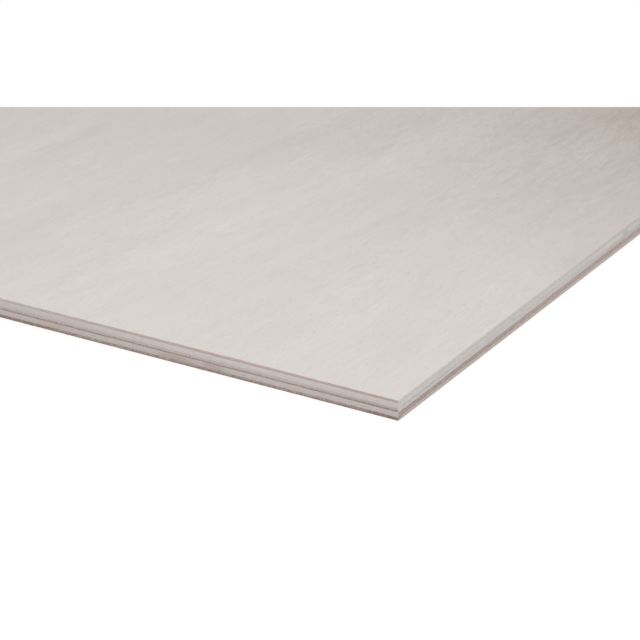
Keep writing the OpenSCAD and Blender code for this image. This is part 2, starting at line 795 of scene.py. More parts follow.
@dataclass(frozen=True)
class Specks:
    """Dark specks scattered on a sawn edge.

    Attributes:
        colour: Their colour.
        shown: How strongly they show.
        shape: Their size and slant.
        rare: The pattern's level above which one shows, from 0.5 to 0.9.
    """

    colour: Colour
    shown: float
    shape: Streaks = Streaks((0.7, 0.6))
    rare: float = 0.68

    BORDER = 0.1

    def scatter(self, edge: EdgeSpace, seed: float, colour: Socket) -> Socket:
        """Scatters the specks over a colour.

        Args:
            edge: The place on the edge.
            seed: Shifts them.
            colour: The colour under them.

        Returns:
            The colour with the specks.
        """
        dots = self.shape.draw(edge, seed, detail=1)
        share = edge.graph.spread(dots, self.rare, self.rare + self.BORDER, 0.0, self.shown)
        return edge.graph.mix(share, colour, self.colour)


@dataclass(frozen=True)
class EdgeFinish:
    """A sawn edge of a veneer.

    Attributes:
        upper: Colour at the top of the veneer.
        lower: Colour at its bottom, mostly darker: partly the wood, partly painted shade towards the floor.
        streaks: Marks that swing its colour. The first and the last stand in relief.
        specks: Dark specks.
        lines: Thin lines that run along it.
        marks: Patches that stand out.
        wear: How much paler it is at the sheet's upright arrises.
    """

    upper: Colour
    lower: Colour
    streaks: tuple[Streaks, ...]
    specks: Specks
    lines: tuple[Line, ...] = ()
    marks: tuple[Mark, ...] = ()
    wear: float = 0.16

    RELIEF = 0.03 * MM
    ROUGH_LEVELS = (0.3, 0.7, 0.86, 0.74)
    WORN = "e0dad5"
    WORN_WIDTH = (0.3 * MM, 1.0 * MM)
    # What keeps the patterns of the two cuts, and those of one edge, apart.
    CUT_SEEDS = {Cut.LONG: 31, Cut.END: 57}
    STREAK_SEED_STEP = 4
    LINE_SEED_STEP = 3
    SPECK_SEED = 12

    def material(self, cut: Cut, stock: Stock) -> bpy.types.Material:
        """Makes the material of the edge.

        Args:
            cut: Whether the saw went with the grain or across it.
            stock: The veneer that it goes on.

        Returns:
            The material.
        """
        material = bpy.data.materials.new(f"{stock.name}_{cut.name.lower()}_edge")
        graph = Graph(material)
        place = WoodSpace.of(graph, stock)
        edge = EdgeSpace.of(place, cut, stock)
        seed = stock.seed + self.CUT_SEEDS[cut]
        patterns = [each.draw(edge, seed + self.STREAK_SEED_STEP * i) for i, each in enumerate(self.streaks)]
        # Darker towards the bottom of most veneers: partly the wood, partly painted shade near the floor.
        colour = graph.mix(graph.spread(edge.share, 0.0, 1.0), self.lower, self.upper)
        uneven = graph.centred(patterns[0])
        shift = graph.combine(uneven, uneven, 0.0)
        for mark in self.marks:
            colour = mark.lay(place, shift, colour)
        for i, line in enumerate(self.lines):
            colour = line.draw(edge, seed + self.LINE_SEED_STEP * i, colour)
        for each, pattern in zip(self.streaks, patterns):
            colour = graph.swing(colour, pattern, each.reach)
        colour = self.specks.scatter(edge, seed + self.SPECK_SEED, colour)
        worn = graph.spread(edge.nearest, *self.WORN_WIDTH, self.wear, 0.0)
        colour = graph.mix(worn, colour, self.WORN)
        roughness = graph.spread(patterns[-1], *self.ROUGH_LEVELS)
        height = graph.math("ADD", patterns[0], patterns[-1])
        graph.wood(colour, roughness, height, self.RELIEF)
        return material


@dataclass(frozen=True)
class VeneerFinish:
    """The looks of a veneer.

    Attributes:
        broad: Its peeled face.
        long: Its edge along the grain.
        end: Its end grain.
    """

    broad: BroadFinish
    long: EdgeFinish
    end: EdgeFinish

    def materials(self, stock: Stock) -> list[bpy.types.Material]:
        """Makes the materials of a veneer, one for each cut, in their order."""
        edges = [self.long.material(Cut.LONG, stock), self.end.material(Cut.END, stock)]
        return [self.broad.material(stock), *edges]


@dataclass(frozen=True)
class GlueLine:
    """The line where two plies meet, which waves a little where the saw shows it.

    Attributes:
        seed: Picks its waves.
        reach: How far it waves.
        lengths: Lengths of its waves, in metres. A longer wave is higher.
    """

    seed: int
    reach: float = 0.07 * MM
    lengths: tuple[float, ...] = (0.31, 0.17, 0.083, 0.041, 0.019)

    USUAL_SUM = 1.6

    def wave(self, xy: Array) -> Array:
        """Says how far the line lies above its level.

        Args:
            xy: Places round the edge of the sheet, one row each.

        Returns:
            One height for each place.
        """
        rng = np.random.default_rng(self.seed)
        total = np.zeros(len(xy))
        for length in self.lengths:
            phase = rng.uniform(0, 2 * math.pi, 2)
            total += np.sin(2 * math.pi * xy / length + phase).sum(1) * math.sqrt(length)
        return self.reach * total / self.USUAL_SUM


@dataclass(frozen=True)
class SawnEdge:
    """The relief that the saw and the sander leave on a veneer's edges.

    Attributes:
        groove: How far the edge falls back at a glue line.
        groove_fuzz: How much of the relief is left there.
        end_fuzz: Depth of the broken fibres on end grain.
        long_ripple: Depth of the ripples on long grain.
        ripple_columns: Over how many columns a ripple runs.
        corner: Radius of the sheet's upright arrises.
        long_arris: Radius of an outer arris along the grain of the face.
        end_arris: Radius of an outer arris at the ends.
        arris_sway: How far that radius sways, as a share of it.
        sway_columns: Over how many columns it sways.
        arris_limits: The least and the most that the radius becomes, as shares of it.
        nicks_each_metre: How many splinters are missing from a metre of arris.
        long_nick: Least and most half length of a splinter along the grain of the face.
        end_nick: Least and most half length of a splinter at the ends.
        long_nick_depth: How much a splinter widens the arris along the grain, as a share of its radius.
        end_nick_depth: How much a splinter widens the arris at the ends, as a share of its radius.
        nick_shares: The least and the most of that depth that a splinter has.
    """

    groove: float = 0.07 * MM
    groove_fuzz: float = 0.4
    end_fuzz: float = 0.07 * MM
    long_ripple: float = 0.03 * MM
    ripple_columns: int = 17
    corner: float = 0.4 * MM
    long_arris: float = 0.5 * MM
    end_arris: float = 0.2 * MM
    arris_sway: float = 0.12
    sway_columns: int = 5
    arris_limits: Pair = (0.6, 2.4)
    nicks_each_metre: float = 14.0
    long_nick: Pair = (2.0 * MM, 9.0 * MM)
    end_nick: Pair = (0.6 * MM, 1.8 * MM)
    long_nick_depth: float = 0.48
    end_nick_depth: float = 1.28
    nick_shares: Pair = (0.3, 1.0)


@dataclass
class Columns:
    """The columns of points that stand round a veneer, anticlockwise seen from above.

    Attributes:
        xy: Place of each column on the outline.
        side: Index of the side that each column stands on.
        run: Distance of each column along its side.
        endness: 1 on the two ends, 0 on the long sides, and in between at a corner.
        lengths: Length of each side.
    """

    xy: Array
    side: Array
    run: Array
    endness: Array
    lengths: list[float]

    PITCH = 0.8 * MM
    HIDDEN_PITCH = 30 * MM
    CORNER_TURNS = (45.0, 30.0, 15.0)

    @classmethod
    def around(cls, low: Vector, high: Vector, hidden: frozenset[Side], corner_r: float) -> "Columns":
        """Sets columns round a rectangle whose open corners are rounded.

        Args:
            low: Its lowest corner.
            high: Its highest corner.
            hidden: Sides that lie against another veneer.
            corner_r: Radius of the corners between two open sides.

        Returns:
            The columns.
        """
        corners = np.array([(low.x, low.y), (high.x, low.y), (high.x, high.y), (low.x, high.y)])
        sides = list(Side)
        xy, side, run, endness, lengths = [], [], [], [], []
        for index, which in enumerate(sides):
            following = (index + 1) % len(sides)
            way = corners[following] - corners[index]
            length = float(np.linalg.norm(way))
            neighbours = (sides[index - 1], sides[following])
            radii = [0.0 if {which, other} & hidden else corner_r for other in neighbours]
            pitch = cls.HIDDEN_PITCH if which in hidden else cls.PITCH
            along, depth, turned = cls._side(length, radii, pitch)
            inward = -np.array(which.value)
            xy.append(corners[index] + along[:, None] * way / length + depth[:, None] * inward)
            side.append(np.full(len(along), index))
            run.append(along)
            endness.append(1 - turned if which.is_end else turned)
            lengths.append(length)
        return cls(*(np.concatenate(part) for part in (xy, side, run, endness)), lengths)

    @classmethod
    def _side(cls, length: float, radii: list[float], pitch: float) -> tuple[Array, ...]:
        """Sets the columns of one side, with half of the corner at each end.

        Args:
            length: Length of the side between the sharp corners.
            radii: Radius of the corner that it starts from, and of the one that it runs to.
            pitch: Distance between columns.

        Returns:
            How far each column lies along the side, how far behind it, and how far it has turned
            towards the next side, as a share of the whole corner.
        """
        start_r, end_r = radii
        turns = np.radians(cls.CORNER_TURNS)
        back = np.concatenate([[0.0], turns[:0:-1]])
        quarter = math.pi / 2
        straight = np.linspace(start_r, length - end_r, max(2, round(length / pitch)) + 1)[:-1]
        parts = [(straight, 0 * straight, 0 * straight)]
        if start_r:
            parts.insert(0, (start_r * (1 - np.sin(turns)), start_r * (1 - np.cos(turns)), turns / quarter))
        if end_r:
            parts.append((length - end_r * (1 - np.sin(back)), end_r * (1 - np.cos(back)), back / quarter))
        return tuple(np.concatenate(part) for part in zip(*parts))

    def inset(self, ends: Array, longs: Array) -> Array:
        """Draws the outline in towards its middle.

        Args:
            ends: How far each column moves in from the two ends.
            longs: How far each column moves in from the long sides.

        Returns:
            The new places.
        """
        low, high = self.xy.min(0), self.xy.max(0)
        middle, half = (low + high) / 2, (high - low) / 2
        return middle + (self.xy - middle) * (half - np.stack([ends, longs], 1)) / half


@dataclass
class MeshParts:
    """The points, faces, map places and cuts that a veneer's mesh is made from."""

    points: list[Array] = field(default_factory=list)
    faces: list[list[int]] = field(default_factory=list)
    spots: list[Pair] = field(default_factory=list)
    cuts: list[Cut] = field(default_factory=list)
    count: int = 0

    def add_points(self, xy: Array, z: Array | float) -> Array:
        """Adds points.

        Args:
            xy: Place of each point, one row each.
            z: Their heights, or one height for all.

        Returns:
            Their indices.
        """
        self.points.append(np.column_stack([xy, np.broadcast_to(z, len(xy))]))
        self.count += len(xy)
        return np.arange(self.count - len(xy), self.count)

    def add_face(self, corners: Sequence[int], spots: Sequence[Pair], cut: Cut) -> None:
        """Adds a face.

        Args:
            corners: Indices of its points, anticlockwise seen from outside.
            spots: Where each corner lies on the texture map.
            cut: What the face shows of the wood.
        """
        self.faces.append([int(corner) for corner in corners])
        self.spots.extend(spots)
        self.cuts.append(cut)


@dataclass(frozen=True)
class TextureMap:
    """How a veneer's surfaces share its texture map, which is one unit wide and high.

    Attributes:
        show: Height given to the open broad face.
        glued: Height given to each glued face.
        row_length: Length of edge in one row of the map.
        gap: Bare strip round each surface.
    """

    show: float
    glued: float
    row_length: float
    gap: float = 4 / 1024

    def row_band(self, row: int, rows: int) -> Pair:
        """Places a row of sawn edge on the map.

        Args:
            row: Which row it is.
            rows: How many rows there are.

        Returns:
            The bottom and the top of the row.
        """
        start = self.show + 2 * self.glued
        height = (1 - start) / rows
        return start + row * height + self.gap, start + (row + 1) * height - self.gap


@dataclass
class Veneer:
    """One veneer of the sheet: a closed mesh with sawn sides, dressed in its finish.

    Attributes:
        name: Name of the piece.
        node: The solid that it stands for.
        slot: The record's material slot; not used.
        grain: Which way its fibres run.
        finish: Its looks.
        seed: Picks its relief and shifts its patterns.
        below: The glue line under it, if it has one.
        above: The glue line over it, if it has one.
        show: Which broad face is open to view.
        edge: The relief of its edges.
        hidden: Sides that lie against another veneer.
    """

    name: str
    node: str
    slot: str
    grain: Grain
    finish: VeneerFinish
    seed: int
    below: GlueLine | None = None
    above: GlueLine | None = None
    show: Show = Show.NEITHER
    edge: SawnEdge = SawnEdge()
    hidden: frozenset[Side] = frozenset()

    # Heights of the rings of an edge, as shares of the thickness, and the turns of an outer arris.
    RING_SHARES = (0.05, 0.22, 0.4, 0.6, 0.78, 0.95)
    RINGS_UNDER_ARRIS = 2
    ARRIS_TURNS = (0.0, 22.5, 45.0, 67.5, 90.0)
    SHARP_ANGLE = 32.0
    # The rim between an edge and the flat of a broad face, at most a share of a narrow veneer.
    RIM = 3 * MM
    NARROW_SHARE = 0.25
    # The flat: its pitch, the way it is filled inside its loop, and how close two points count as one.
    FLAT_PITCH = 20 * MM
    FILL_INSIDE = 1
    SAME_POINT = 1e-9
    MAP_NAME = "OFBake"
    OPEN_MAP = TextureMap(show=0.8, glued=0.012, row_length=610 * MM)
    INNER_MAP = TextureMap(show=0.0, glued=0.02, row_length=122 * MM)

    def __post_init__(self) -> None:
        """Takes the solid's place and sets columns round it."""
        self.low, self.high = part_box(self.node)
        self.columns = Columns.around(self.low, self.high, self.hidden, self.edge.corner)
        self.map = self.INNER_MAP if self.show is Show.NEITHER else self.OPEN_MAP
        self.rng = np.random.default_rng(self.seed)
        self.parts = MeshParts()

    def build(self, sheet: Box) -> bpy.types.Object:
        """Makes the piece and puts it in the solid's place.

        Args:
            sheet: Lowest and highest corner of the sheet.

        Returns:
            The piece.
        """
        rings = self._add_rings()
        self._add_sides(rings)
        self._add_plate(rings[0], up=False)
        self._add_plate(rings[-1], up=True)
        piece = self._object(sheet)
        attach(piece, "root")
        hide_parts(self.node)
        return piece

    def cut_of(self, side: Side) -> Cut:
        """Says whether a side shows long grain or end grain."""
        return Cut.END if side.is_end == (self.grain is Grain.ALONG) else Cut.LONG

    def _add_rings(self) -> list[Array]:
        """Adds the rings of points that make the sides, from the bottom up.

        Returns:
            The indices of the points of each ring.
        """
        outline = self.columns.xy
        flat = np.zeros(len(outline))
        low_wave, high_wave = (glue.wave(outline) if glue else flat for glue in (self.below, self.above))
        thick = self.high.z - self.low.z
        rings = []
        for inset_end, inset_long, rise, weight in self._profile(thick):
            relief = self._relief() * weight
            xy = self.columns.inset(inset_end + relief, inset_long + relief)
            share = rise / thick
            z = self.low.z + rise + low_wave * (1 - share) + high_wave * share
            rings.append(self.parts.add_points(xy, z))
        return rings

    def _profile(self, thick: float) -> list[tuple[Array, Array, Array, float]]:
        """Draws the section of an edge, from the bottom up.

        Args:
            thick: The thickness of the veneer.

        Returns:
            For each ring, the inset at the ends and at the long sides, the rise, and the share of the
            relief that it takes.
        """
        level = np.zeros(len(self.columns.xy))
        groove = level + self.edge.groove
        low_glue, high_glue = ((groove, groove, level + rise, self.edge.groove_fuzz) for rise in (0.0, thick))
        body = [(level, level, level + share * thick, 1.0) for share in self.RING_SHARES]
        if self.show is Show.NEITHER:
            return [low_glue, *body, high_glue]
        nicks = self._nicks()
        end_r, long_r = self.edge.end_arris * nicks, self.edge.long_arris * nicks
        own_r = long_r + (end_r - long_r) * self.columns.endness
        section = [low_glue, *body[: self.RINGS_UNDER_ARRIS]]
        for turn in np.radians(self.ARRIS_TURNS):
            back, drop = 1 - math.cos(turn), 1 - math.sin(turn)
            section.append((end_r * back, long_r * back, thick - own_r * drop, math.cos(turn)))
        if self.show is Show.TOP:
            return section
        return [(end, long, thick - rise, weight) for end, long, rise, weight in reversed(section)]

    def _nicks(self) -> Array:
        """Widens the arris where splinters have broken out.

        Returns:
            A factor on the arris for each column.
        """
        edge, rng = self.edge, self.rng
        factor = 1 + edge.arris_sway * self._soft(edge.sway_columns)
        for index, side in enumerate(Side):
            here = np.flatnonzero(self.columns.side == index)
            run, length = self.columns.run[here], self.columns.lengths[index]
            halves, deepest = edge.long_nick, edge.long_nick_depth
            if side.is_end:
                halves, deepest = edge.end_nick, edge.end_nick_depth
            for _ in range(int(edge.nicks_each_metre * length)):
                middle, half = rng.uniform(0, length), rng.uniform(*halves)
                depth = deepest * rng.uniform(*edge.nick_shares)
                factor[here] += depth * np.clip(1 - np.abs(run - middle) / half, 0, None)
        return np.clip(factor, *edge.arris_limits)

    def _soft(self, width: int) -> Array:
        """Draws one random number for each column and smooths them along the edge.

        Args:
            width: Over how many columns, an odd number.

        Returns:
            The smoothed numbers, about 0 on average.
        """
        drawn = self.rng.normal(size=len(self.columns.xy))
        kernel = np.hanning(width + 2)[1:-1]
        padded = np.pad(drawn, width // 2, mode="wrap")
        return np.convolve(padded, kernel / np.linalg.norm(kernel), mode="valid")

    def _relief(self) -> Array:
        """Roughens one ring of an edge.

        Returns:
            How far each column lies behind the sawn plane.
        """
        fuzz = np.abs(self._soft(1)) * self.edge.end_fuzz
        ripple = np.abs(self._soft(self.edge.ripple_columns)) * self.edge.long_ripple
        on_end = self.columns.endness > 0.5
        return np.where(on_end == (self.grain is Grain.ALONG), fuzz, ripple)

    def _add_sides(self, rings: list[Array]) -> None:
        """Adds the faces between the rings, cut into rows on the texture map.

        Args:
            rings: Indices of the points of each ring.
        """
        rows = []
        for index, side in enumerate(Side):
            columns = np.flatnonzero(self.columns.side == index)
            length = self.columns.lengths[index]
            count = 1 if side in self.hidden else max(1, round(length / self.map.row_length))
            ends = np.append(self.columns.run[columns][1:], length)
            rows += [(side, part, ends[part - columns[0]]) for part in np.array_split(columns, count)]
        for row, (side, columns, ends) in enumerate(rows):
            heights = np.linspace(*self.map.row_band(row, len(rows)), len(rings))
            self._add_row(rings, columns, ends, heights, self.cut_of(side))

    def _add_row(self, rings: list[Array], columns: Array, ends: Array, heights: Array, cut: Cut) -> None:
        """Adds the faces of one row of sawn edge.

        Args:
            rings: Indices of the points of each ring.
            columns: The columns that the row's faces start at.
            ends: How far along the side each of those faces ends.
            heights: Height of each ring on the texture map.
            cut: What the edge shows of the wood.
        """
        start = self.columns.run[columns[0]]
        reach = (ends - start) / (ends[-1] - start)
        widths = self.map.gap + (1 - 2 * self.map.gap) * np.insert(reach, 0, 0.0)
        for k, a in enumerate(columns):
            b = (a + 1) % len(self.columns.xy)
            left, right = widths[k], widths[k + 1]
            for lower, upper, low, high in zip(rings, rings[1:], heights, heights[1:]):
                corners = [lower[a], lower[b], upper[b], upper[a]]
                spots = [(left, low), (right, low), (right, high), (left, high)]
                self.parts.add_face(corners, spots, cut)

    def _add_plate(self, ring: Array, up: bool) -> None:
        """Closes the mesh with a broad face: a rim at the edge, and a flat inside it.

        Args:
            ring: Indices of the points round the face.
            up: Whether it is the upper face.
        """
        level = self.high.z if up else self.low.z
        narrow = min(self.high.x - self.low.x, self.high.y - self.low.y)
        margin = np.full(len(ring), min(self.RIM, self.NARROW_SHARE * narrow))
        rim = self.columns.inset(margin, margin)
        inner = self.parts.add_points(rim, level)
        edge_spots = self._plate_spots(np.concatenate(self.parts.points)[ring], up)
        rim_spots = self._plate_spots(rim, up)
        turn = 1 if up else -1
        for a in range(len(ring)):
            b = (a + 1) % len(ring)
            corners = [ring[a], ring[b], inner[b], inner[a]]
            spots = [edge_spots[a], edge_spots[b], rim_spots[b], rim_spots[a]]
            self.parts.add_face(corners[::turn], spots[::turn], Cut.BROAD)
        self._add_flat(rim, inner, level, up)

    def _plate_spots(self, points: Array, up: bool) -> list[Pair]:
        """Places points of a broad face on the texture map.

        Args:
            points: The points.
            up: Whether they are on the upper face.

        Returns:
            One place for each point.
        """
        bottom, height = self.map.show + (self.map.glued if up else 0.0), self.map.glued
        if self.show is (Show.TOP if up else Show.UNDERSIDE):
            bottom, height = 0.0, self.map.show
        gap = self.map.gap / 2
        low, high = (np.array(corner.xy) for corner in (self.low, self.high))
        shares = np.clip((points[:, :2] - low) / (high - low), 0, 1)
        spots = (gap, bottom + gap) + shares * (1 - 2 * gap, height - 2 * gap)
        return [tuple(spot) for spot in spots.tolist()]

    def _add_flat(self, rim: Array, rim_points: Array, level: float, up: bool) -> None:
        """Fills the flat of a broad face with triangles that grow away from its rim.

        Args:
            rim: Places of the points round the flat.
            rim_points: Their indices.
            level: Height of the flat.
            up: Whether it is the upper face.
        """
        inside = [
            np.linspace(low, high, max(2, round((high - low) / self.FLAT_PITCH)) + 1)[1:-1]
            for low, high in zip(rim.min(0), rim.max(0))
        ]
        grid = np.array([(x, y) for x in inside[0] for y in inside[1]])
        flat = np.concatenate([rim, grid])
        index = np.concatenate([rim_points, self.parts.add_points(grid, level)])
        loop = [(i, (i + 1) % len(rim)) for i in range(len(rim))]
        places = [Vector(point) for point in flat]
        made = delaunay_2d_cdt(places, loop, [], self.FILL_INSIDE, self.SAME_POINT)
        triangles, sources = made[2], made[3]
        spots = self._plate_spots(flat, up)
        for triangle in triangles:
            corners = [sources[k][0] for k in triangle]
            a, b, c = flat[corners]
            turn = (b[0] - a[0]) * (c[1] - a[1]) - (b[1] - a[1]) * (c[0] - a[0])
            if (turn > 0) != up:
                corners.reverse()
            self.parts.add_face(index[corners], [spots[k] for k in corners], Cut.BROAD)

    def _object(self, sheet: Box) -> bpy.types.Object:
        """Turns the mesh parts into a dressed piece.

        Args:
            sheet: Lowest and highest corner of the sheet.

        Returns:
            The piece.
        """
        mesh = bpy.data.meshes.new(self.name)
        mesh.from_pydata(np.concatenate(self.parts.points).tolist(), [], self.parts.faces)
        cuts = list(Cut)
        mesh.polygons.foreach_set("material_index", [cuts.index(cut) for cut in self.parts.cuts])
        layer = mesh.uv_layers.new(name=self.MAP_NAME)
        layer.data.foreach_set("uv", np.array(self.parts.spots).ravel())
        mesh.shade_smooth()
        mesh.set_sharp_from_angle(angle=math.radians(self.SHARP_ANGLE))
        low, high = sheet
        stock = Stock(self.name, self.grain, self.low.z, self.high.z, low, high - low, self.seed)
        for material in self.finish.materials(stock):
            mesh.materials.append(material)
        mesh.update()
        piece = bpy.data.objects.new(self.name, mesh)
        bpy.context.scene.collection.objects.link(piece)
        return piece


@dataclass
class PlywoodSheet:
    """The sheet: five plies laid crosswise, the upper cross ply pieced from three veneers.

    Attributes:
        glue: The glue lines, from the lowest up.
        drawn: Length and width of the photographed corner, where the figure of the face is set by the listed
            patches.
        back_edge: The relief of the back ply's edges, whose arrises are sharper and more splintered.
    """

    glue: tuple[GlueLine, ...] = tuple(GlueLine(seed) for seed in (11, 12, 13, 14))
    drawn: Pair = (0.37, 0.345)
    back_edge: SawnEdge = SawnEdge(
        end_fuzz=0.1 * MM, long_arris=0.07 * MM, end_arris=0.07 * MM, nicks_each_metre=20.0
    )

    FAR_END_MM = 1220.0
    FIBRE_STREAKS = (Streaks((22, 0.4), 0.016), Streaks((3.5, 0.18), 0.018))
    LONG_STREAKS = (*FIBRE_STREAKS, Streaks((1.6, 6.0), 0.04, slant=1.0))
    END_CLOUDS = Streaks((2.4, 3.0), 0.03, slant=1.0)
    END_STREAKS = (END_CLOUDS, Streaks((0.6, 1.8), 0.045, slant=1.0))

    def veneers(self) -> list[Veneer]:
        """Lays up the veneers.

        Returns:
            Every veneer, from the back up.
        """
        first, second, third, fourth = self.glue
        upper = {"grain": Grain.ACROSS, "below": third, "above": fourth}
        return [
            Veneer(
                "back_veneer", "back_ply", "outer_veneer", Grain.ALONG, self._back(), seed=101,
                above=first, show=Show.UNDERSIDE, edge=self.back_edge,
            ),
            Veneer(
                "lower_cross_veneer", "lower_cross_ply", "red_cross_veneer", Grain.ACROSS,
                self._lower_cross(), seed=102, below=first, above=second,
            ),
            Veneer(
                "core_veneer", "core_ply", "core_veneer", Grain.ALONG, self._core(), seed=103,
                below=second, above=third,
            ),
            Veneer(
                "upper_cross_end_veneer", "upper_cross_end_strip", "pale_cross_veneer", seed=104,
                finish=self._upper_cross("d6d2ce", "d3cec9"), hidden=frozenset({Side.FAR_END}), **upper,
            ),
            Veneer(
                "upper_cross_sliver", "upper_cross_insert", "red_cross_veneer", seed=105,
                finish=self._upper_cross("c7bab4", "c4b6b0"),
                hidden=frozenset({Side.NEAR_END, Side.FAR_END}), **upper,
            ),
            Veneer(
                "upper_cross_veneer", "upper_cross_ply", "pale_cross_veneer", seed=106,
                finish=self._upper_cross("d6d2cd", "d3cec9"), hidden=frozenset({Side.NEAR_END}), **upper,
            ),
            Veneer(
                "face_veneer", "face_ply", "outer_veneer", Grain.ALONG, self._face(), seed=107,
                below=fourth, show=Show.TOP,
            ),
        ]

    # Edge colours below are darker than the face and mostly darker in lower plies: partly the wood, partly
    # painted shade on the sides and near the floor.
    def _long(self, upper: Colour, lower: Colour, **more: object) -> EdgeFinish:
        """Mixes an edge that was sawn with the grain, from its colours and other fields of the finish."""
        settings = {"streaks": self.LONG_STREAKS, "specks": Specks("a89a93", 0.12)} | more
        return EdgeFinish(upper, lower, **settings)

    def _end(self, upper: Colour, lower: Colour, **more: object) -> EdgeFinish:
        """Mixes an edge that shows end grain, from its colours and other fields of the finish."""
        settings = {"streaks": self.END_STREAKS, "specks": Specks("8c7870", 0.2)} | more
        return EdgeFinish(upper, lower, **settings)

    def _face(self) -> VeneerFinish:
        """Mixes the looks of the face ply.

        Returns:
            The looks.
        """
        line = Line("c8bcb6", at=0.2, half=0.2, shown=0.8, breaks=0.3)
        fringe = Line("d9cfca", at=1.08, half=0.32, shown=0.9, breaks=0.0)
        patches = (
            Mark.on_end((202, 9.2), (82, 3), "c5bab5", 0.72),
            Mark.on_end((10, 9.2), (45, 3), "b59f98", 0.6),
            Mark.on_end((15, 10.0), (60, 0.5), "dcd3ce", 0.6, fray=0.2),
        )
        dusky = Mark.on_long((230, 9.5), (90, 1.2), "c0b1aa", 0.34, fray=0.3)
        porous = Mark.on_face((110, 60), (220, 115), "b4968f", 1.0, lean=15)
        streaky = Mark.on_face((420, 65), (360, 180), "b4968f", 1.0)
        return VeneerFinish(
            BroadFinish(drawn=self.drawn, marks=self._figure_marks(), porous=porous, streaky=streaky),
            # Its top colour, at the rounded arris, is darker than its bottom: painted shade on the arris.
            self._long("d1cbc5", "d5cdc8", lines=(line,), marks=(dusky,)),
            self._end("c3b0aa", "bfaaa5", lines=(fringe,), marks=patches, specks=Specks("8c7870", 0.15)),
        )

    @staticmethod
    def _figure_marks() -> tuple[Mark, ...]:
        """Places the patches that stand out in the figure of the face, near the photographed corner.

        Returns:
            The patches, in the order that they are laid.
        """
        red, rosy, pink, dull, pale, white = "c2b7b0", "c8b9b3", "d3c8c3", "cdc6c0", "e2ded9", "ece9e6"
        patch = Mark.on_face
        return (
            patch((430, 30), (340, 190), red, 1.0, fray=0.12),
            patch((800, 45), (430, 130), red, 0.5, lean=-3, fray=0.15),
            patch((1100, 20), (330, 95), red, 0.35, fray=0.15),
            patch((110, 75), (170, 95), "dcd4cf", 0.5, fray=0.8),
            patch((312, 165), (70, 58), "c9c0b9", 0.45, fray=0.8),
            patch((260, 215), (90, 80), dull, 0.3, fray=0.8),
            patch((225, 310), (170, 130), dull, 0.33, fray=0.8),
            patch((130, 166), (175, 17), pale, 0.35, lean=-10, fray=2.2),
            patch((250, 140), (80, 22), pale, 0.12, lean=-8, fray=2.0),
            patch((168, 312), (50, 16), pale, 0.3, lean=-8, fray=1.6),
            patch((175, 222), (160, 24), pink, 0.25, lean=-17, fray=2.2),
            patch((245, 198), (60, 10), rosy, 0.18, lean=-17, fray=2.2),
            patch((60, 203), (90, 12), pink, 0.06, lean=-8, fray=2.0),
            patch((192, 298), (46, 7), rosy, 0.16, lean=-6, fray=2.4),
            patch((60, 60), (60, 14), pale, 0.25, lean=-5, fray=1.8),
            patch((125, 55), (80, 7), pink, 0.2, lean=9, fray=2.2),
            patch((32, 86), (30, 8), pink, 0.16, fray=1.6),
            patch((46, 26), (40, 14), rosy, 0.09, lean=20, fray=2.2),
            patch((212, 58), (70, 34), dull, 0.22, fray=1.6),
            patch((220, 148), (120, 72), dull, 0.19, fray=0.8),
            patch((190, 98), (70, 24), dull, 0.15, fray=1.2),
            patch((277, 192), (45, 20), dull, 0.16, fray=1.2),
            patch((50, 248), (70, 45), dull, 0.16, fray=0.8),
            patch((374, 64), (62, 22), "b0a19a", 0.36, fray=1.2),
            patch((75, 74), (75, 18), pale, 0.24, fray=1.6),
            patch((274, 92), (60, 16), pale, 0.17, fray=1.6),
            patch((225, 73), (80, 6), pale, 0.16, lean=-2, fray=2.0),
            patch((272, 59), (50, 6), red, 0.12, fray=2.4),
            patch((292, 58), (58, 38), pale, 0.17, fray=2.0),
            patch((175, 4), (30, 9), rosy, 0.25, fray=2.2),
            patch((245, 30), (36, 18), pale, 0.1, fray=2.0),
            patch((230, 130), (20, 46), pale, 0.15, fray=2.0),
            patch((288, 132), (44, 28), pale, 0.15, fray=2.2),
            patch((254, 165), (34, 28), dull, 0.3, fray=1.6),
            patch((115, 170), (9, 5), dull, 0.2),
            patch((124, 170), (9, 4.5), white, 0.2),
            patch((187, 240), (7, 3.5), white, 0.18),
            patch((162, 282), (14, 7), white, 0.15, fray=1.8),
        )

    def _upper_cross(self, upper: Colour, lower: Colour) -> VeneerFinish:
        """Mixes the looks of a veneer of the upper cross ply.

        Args:
            upper: Colour of its end grain at the top.
            lower: Colour of its end grain at the bottom.

        Returns:
            The looks.
        """
        streaks = (Streaks((3.0, 3.0), 0.025, slant=1.4), Streaks((0.9, 1.3), 0.08, slant=1.6))
        specks = Specks("8c7d77", 0.8, Streaks((1.4, 0.8), slant=1.6), rare=0.65)
        clear = Mark.on_long((210, 7.2), (26, 3), "dfdbd5", 0.45)
        dim = "c4bdb8"
        shades = (Mark.on_end((5, 7.2), (60, 3), dim, 0.35), Mark.on_end((195, 7.2), (75, 3), dim, 0.45))
        return VeneerFinish(
            BroadFinish(),
            self._long("d1cac6", "cdc6c2", marks=shades),
            self._end(upper, lower, streaks=streaks, specks=specks, marks=(clear,)),
        )

    def _core(self) -> VeneerFinish:
        """Mixes the looks of the core ply.

        Returns:
            The looks.
        """
        red_line = Line("8a6e67", at=0.23, half=0.2, shown=1.0, breaks=0.25, ragged=1.4, dotted=0.45)
        grey_line = Line("bcb4ae", at=0.97, half=0.14, shown=0.8, breaks=0.4)
        rosy = Mark.on_long((270, 5), (120, 3), "c5bab4", 0.8)
        joint = Mark.on_long((30, 5.95), (50, 0.35), "a1968f", 0.9, fray=0.4)
        streaks = (self.END_CLOUDS, Streaks((0.9, 0.6), 0.14))
        torn = Mark.on_end((8, 4.7), (55, 1.6), "a89690", 0.5, fray=1.6)
        return VeneerFinish(
            BroadFinish(),
            self._long("d4cfca", "cfc9c4", lines=(grey_line,), marks=(rosy, joint)),
            self._end("c2b7b3", "b9ada8", streaks=streaks, lines=(red_line,), marks=(torn,)),
        )

